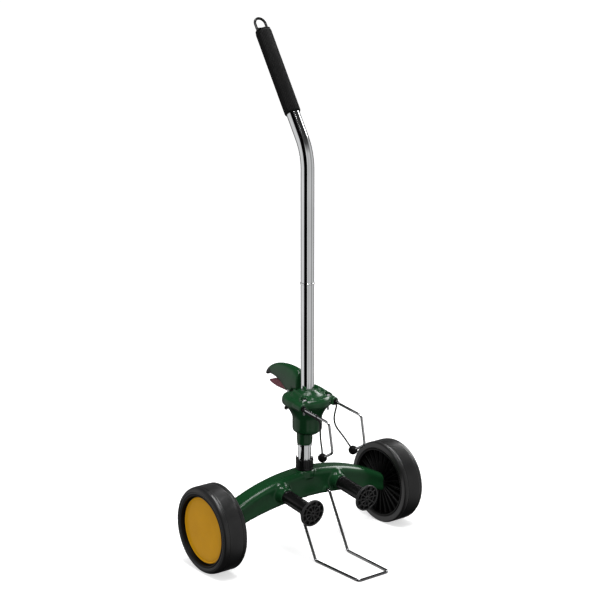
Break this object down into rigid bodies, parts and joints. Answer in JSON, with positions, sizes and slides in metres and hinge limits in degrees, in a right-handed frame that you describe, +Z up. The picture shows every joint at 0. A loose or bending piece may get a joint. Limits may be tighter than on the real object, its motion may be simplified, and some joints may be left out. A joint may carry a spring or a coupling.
{
  "type": "two-wheeled upright carrier",
  "caption": "Upright push carrier: wheels on an arched beam, chromed pole with raked grip, wire hooks with elastic cords, support pegs and a wire foot.",
  "frame": {"origin": "on the floor, under the middle of the bounding box", "axes": "+Z up along the pole, -Y towards the load side with the foot and the hooks, +X along the wheels' axis"},
  "size_m": [0.4836, 0.3558, 1.0093],
  "materials": {
    "green_plastic": "glossy moulded",
    "black_plastic": "satin moulded",
    "tyre_rubber": "satin",
    "yellow_plastic": "satin moulded",
    "chrome": "polished",
    "steel": "zinc plated",
    "grip_rubber": "matte",
    "maroon_rubber": "fine textured",
    "nylon": "natural",
    "elastic_cord": "braided"
  },
  "bodies": {
    "chassis": {"beam_shell": "green_plastic", "beam_base_plate": "green_plastic", "base_plate_screws": "steel", "left_axle_pin": "steel", "right_axle_pin": "steel", "thrust_washers": "steel", "wheel_push_nuts": "steel", "pole_collar": "black_plastic", "lower_tube": "chrome", "tube_plug": "black_plastic", "tube_bolt": "steel", "neck_washer": "chrome", "joint_body": "green_plastic", "joint_cover": "green_plastic", "cover_screws": "steel", "cord_anchors": "black_plastic", "beak_hook": "green_plastic", "beak_tip": "grip_rubber", "lever_pin": "steel", "lever_spring": "steel", "lower_pole": "chrome", "pole_ring": "chrome", "handle_tube": "chrome", "hand_grip": "grip_rubber", "hang_loop": "black_plastic", "left_arm_bush": "black_plastic", "right_arm_bush": "black_plastic", "left_peg": "black_plastic", "right_peg": "black_plastic", "peg_screws": "steel", "foot_wire": "chrome"},
    "left_wheel": {"left_tyre": "tyre_rubber", "left_wheel_rim": "black_plastic", "left_hub_cap": "yellow_plastic", "left_wheel_bush": "nylon"},
    "right_wheel": {"right_tyre": "tyre_rubber", "right_wheel_rim": "black_plastic", "right_hub_cap": "yellow_plastic", "right_wheel_bush": "nylon"},
    "catch_lever": {"release_lever": "maroon_rubber", "lever_tip": "grip_rubber"},
    "catch_plunger": {"lock_plunger": "steel"},
    "left_arm": {"left_arm_wire": "chrome", "left_cord_ferrule": "black_plastic", "left_ball": "grip_rubber", "left_cord": "elastic_cord"},
    "right_arm": {"right_arm_wire": "chrome", "right_cord_ferrule": "black_plastic", "right_ball": "grip_rubber", "right_cord": "elastic_cord"}
  },
  "joints": [
    {"name": "left_wheel_spin", "type": "hinge", "parent": "chassis", "child": "left_wheel", "pos_m": [-0.217, 0.03782, 0.0828], "axis": [1, 0, 0], "continuous": true},
    {"name": "right_wheel_spin", "type": "hinge", "parent": "chassis", "child": "right_wheel", "pos_m": [0.217, 0.03782, 0.0828], "axis": [1, 0, 0], "continuous": true},
    {"name": "release_lever_squeeze", "type": "hinge", "parent": "chassis", "child": "catch_lever", "pos_m": [0, 0.06582, 0.306], "axis": [1, 0, 0], "range_deg": [0, 9], "stiffness_Nm_per_rad": 0.6, "springref_deg": -8.59},
    {"name": "plunger_slide", "type": "slide", "parent": "chassis", "child": "catch_plunger", "axis": [0, 1, 0], "range_m": [0, 0.0022]},
    {"name": "left_arm_swing", "type": "hinge", "parent": "chassis", "child": "left_arm", "pos_m": [-0.0387, -0.01218, 0.2936], "axis": [0, 0.9938, 0.1115], "range_deg": [-15, 40]},
    {"name": "right_arm_swing", "type": "hinge", "parent": "chassis", "child": "right_arm", "pos_m": [0.0387, -0.01218, 0.2936], "axis": [0, -0.9938, -0.1115], "range_deg": [-15, 40]}
  ],
  "couplings": [
    {"joint": "plunger_slide", "follows": "release_lever_squeeze", "m_per_rad": 0.014}
  ]
}
